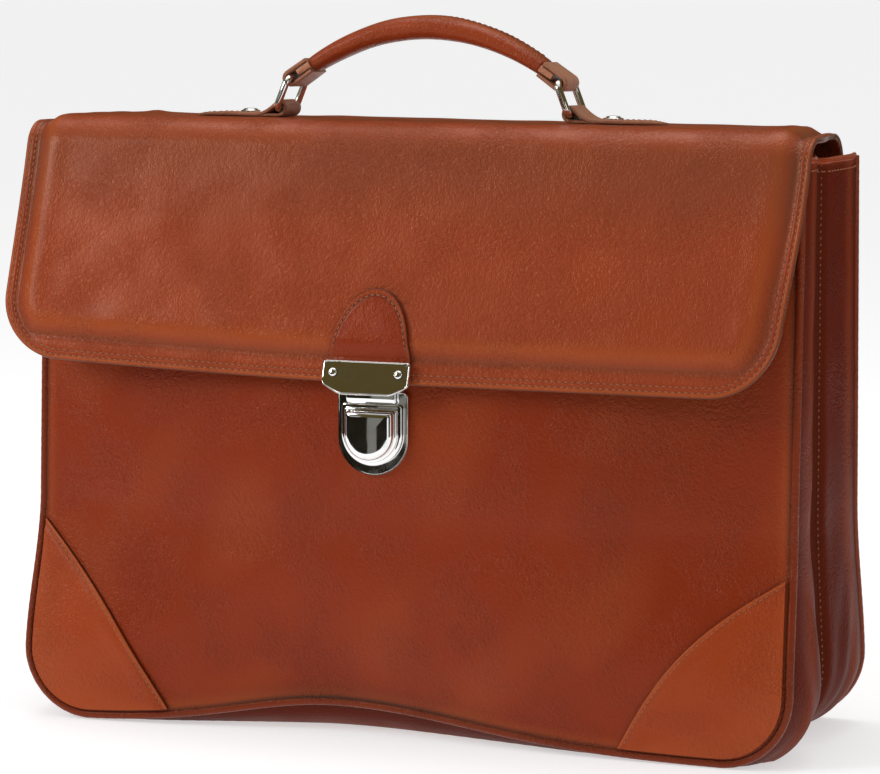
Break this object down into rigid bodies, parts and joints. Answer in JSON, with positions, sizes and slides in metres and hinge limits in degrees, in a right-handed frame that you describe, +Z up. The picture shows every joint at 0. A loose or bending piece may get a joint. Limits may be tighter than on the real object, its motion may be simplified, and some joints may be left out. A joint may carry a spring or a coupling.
{
  "type": "leather document case",
  "caption": "Leather document case with gusseted compartments, a padded flap over the front, a press lock and an arched top handle on rings.",
  "frame": {"origin": "on the floor, under the middle of the whole case", "axes": "+X along the case's width, to the right of someone who looks at its front; the front looks along -Y; +Z up"},
  "size_m": [0.4092, 0.155, 0.3509],
  "materials": {
    "tan_leather": "fine pebbled grain with a soft sheen",
    "dark_leather": "fine pebbled grain, darker and duller",
    "chrome": "polished"
  },
  "bodies": {
    "case": {"front_panel": "tan_leather", "front_piping": "tan_leather", "front_gusset": "dark_leather", "divider": "dark_leather", "rear_gusset": "dark_leather", "rear_piping": "tan_leather", "rear_panel": "tan_leather", "flap": "tan_leather", "corner_patch_left": "tan_leather", "corner_patch_right": "tan_leather", "lock_tab": "tan_leather", "lock_plate": "chrome", "lock_rivet_left": "chrome", "lock_rivet_right": "chrome", "lock_base": "chrome", "lock_tongue": "chrome", "handle_grip": "tan_leather", "handle_end_left": "dark_leather", "handle_end_right": "dark_leather", "chape_left": "tan_leather", "chape_right": "tan_leather", "ring_left": "chrome", "ring_right": "chrome", "stud_left": "chrome", "stud_right": "chrome"},
    "catch": {"lock_slide": "chrome"}
  },
  "joints": [
    {"name": "lock_press", "type": "slide", "parent": "case", "child": "catch", "axis": [0, 0, -1], "range_m": [0, 0.003], "stiffness_N_per_m": 300, "springref_m": -0.003}
  ]
}
